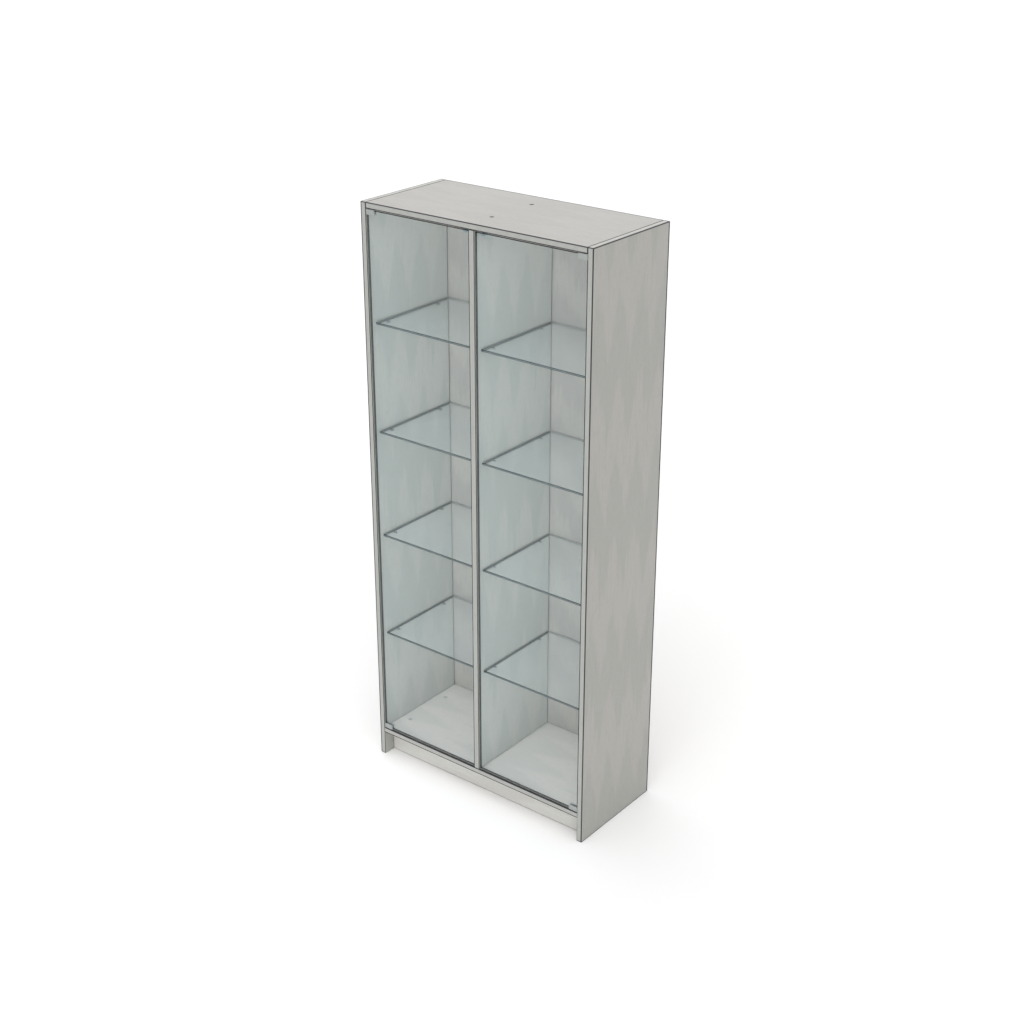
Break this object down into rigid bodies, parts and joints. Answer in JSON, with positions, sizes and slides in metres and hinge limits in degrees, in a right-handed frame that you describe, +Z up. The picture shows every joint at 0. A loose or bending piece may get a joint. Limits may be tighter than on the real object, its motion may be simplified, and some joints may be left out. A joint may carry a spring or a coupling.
{
  "type": "display cabinet",
  "caption": "Tall free-standing display cabinet with glazed bays beside a divider, glass shelves on pins, inset pivoting glass doors, touch latches and levelling feet behind a recessed plinth.",
  "frame": {"origin": "on the floor, under the middle of the cabinet's outer box", "axes": "+X to the right seen from the front, +Y from the doors to the back, +Z up"},
  "size_m": [0.8, 0.35, 1.8],
  "materials": {
    "carcass_board": "pale grey wood grain, satin",
    "back_board": "warm grey thin board, matt",
    "tinted_glass": "polished, faint grey-green tint",
    "pivot_metal": "satin",
    "bush_plastic": "matt",
    "latch_plastic": "matt",
    "plunger_plastic": "matt",
    "strike_steel": "zinc plated",
    "pin_steel": "nickel plated",
    "foot_steel": "zinc plated"
  },
  "bodies": {
    "cabinet": {"back_panel": "back_board", "bottom_panel": "carcass_board", "divider_panel": "carcass_board", "divider_pin_1_front": "pin_steel", "divider_pin_1_rear": "pin_steel", "divider_pin_2_front": "pin_steel", "divider_pin_2_rear": "pin_steel", "divider_pin_3_front": "pin_steel", "divider_pin_3_rear": "pin_steel", "divider_pin_4_front": "pin_steel", "divider_pin_4_rear": "pin_steel", "glass_shelf_left_1": "tinted_glass", "glass_shelf_left_2": "tinted_glass", "glass_shelf_left_3": "tinted_glass", "glass_shelf_left_4": "tinted_glass", "glass_shelf_right_1": "tinted_glass", "glass_shelf_right_2": "tinted_glass", "glass_shelf_right_3": "tinted_glass", "glass_shelf_right_4": "tinted_glass", "hinge_bush_left_bottom": "bush_plastic", "hinge_bush_left_top": "bush_plastic", "hinge_bush_right_bottom": "bush_plastic", "hinge_bush_right_top": "bush_plastic", "latch_body_left": "latch_plastic", "latch_body_right": "latch_plastic", "plinth_board": "carcass_board", "shelf_pin_left_1_front": "pin_steel", "shelf_pin_left_1_rear": "pin_steel", "shelf_pin_left_2_front": "pin_steel", "shelf_pin_left_2_rear": "pin_steel", "shelf_pin_left_3_front": "pin_steel", "shelf_pin_left_3_rear": "pin_steel", "shelf_pin_left_4_front": "pin_steel", "shelf_pin_left_4_rear": "pin_steel", "shelf_pin_right_1_front": "pin_steel", "shelf_pin_right_1_rear": "pin_steel", "shelf_pin_right_2_front": "pin_steel", "shelf_pin_right_2_rear": "pin_steel", "shelf_pin_right_3_front": "pin_steel", "shelf_pin_right_3_rear": "pin_steel", "shelf_pin_right_4_front": "pin_steel", "shelf_pin_right_4_rear": "pin_steel", "side_panel_left": "carcass_board", "side_panel_right": "carcass_board", "top_panel": "carcass_board"},
    "door_left": {"glass_door_left": "tinted_glass", "hinge_clamp_left_bottom": "pivot_metal", "hinge_clamp_left_top": "pivot_metal", "strike_plate_left": "strike_steel"},
    "plunger_left": {"latch_plunger_left": "plunger_plastic"},
    "foot_left_front": {"levelling_foot_left_front": "foot_steel"},
    "foot_left_rear": {"levelling_foot_left_rear": "foot_steel"},
    "door_right": {"glass_door_right": "tinted_glass", "hinge_clamp_right_bottom": "pivot_metal", "hinge_clamp_right_top": "pivot_metal", "strike_plate_right": "strike_steel"},
    "plunger_right": {"latch_plunger_right": "plunger_plastic"},
    "foot_right_front": {"levelling_foot_right_front": "foot_steel"},
    "foot_right_rear": {"levelling_foot_right_rear": "foot_steel"}
  },
  "joints": [
    {"name": "door_left_swing", "type": "hinge", "parent": "cabinet", "child": "door_left", "pos_m": [-0.37, -0.169, 0.94], "axis": [0, 0, -1], "range_deg": [0, 110]},
    {"name": "door_right_swing", "type": "hinge", "parent": "cabinet", "child": "door_right", "pos_m": [0.37, -0.169, 0.94], "axis": [0, 0, 1], "range_deg": [0, 110]},
    {"name": "latch_left_press", "type": "slide", "parent": "cabinet", "child": "plunger_left", "axis": [0, 1, 0], "range_m": [0, 0.003], "stiffness_N_per_m": 1500},
    {"name": "latch_right_press", "type": "slide", "parent": "cabinet", "child": "plunger_right", "axis": [0, 1, 0], "range_m": [0, 0.003], "stiffness_N_per_m": 1500},
    {"name": "foot_left_front_travel", "type": "slide", "parent": "cabinet", "child": "foot_left_front", "axis": [0, 0, -1], "range_m": [0, 0.008]},
    {"name": "foot_left_rear_travel", "type": "slide", "parent": "cabinet", "child": "foot_left_rear", "axis": [0, 0, -1], "range_m": [0, 0.008]},
    {"name": "foot_right_front_travel", "type": "slide", "parent": "cabinet", "child": "foot_right_front", "axis": [0, 0, -1], "range_m": [0, 0.008]},
    {"name": "foot_right_rear_travel", "type": "slide", "parent": "cabinet", "child": "foot_right_rear", "axis": [0, 0, -1], "range_m": [0, 0.008]}
  ]
}
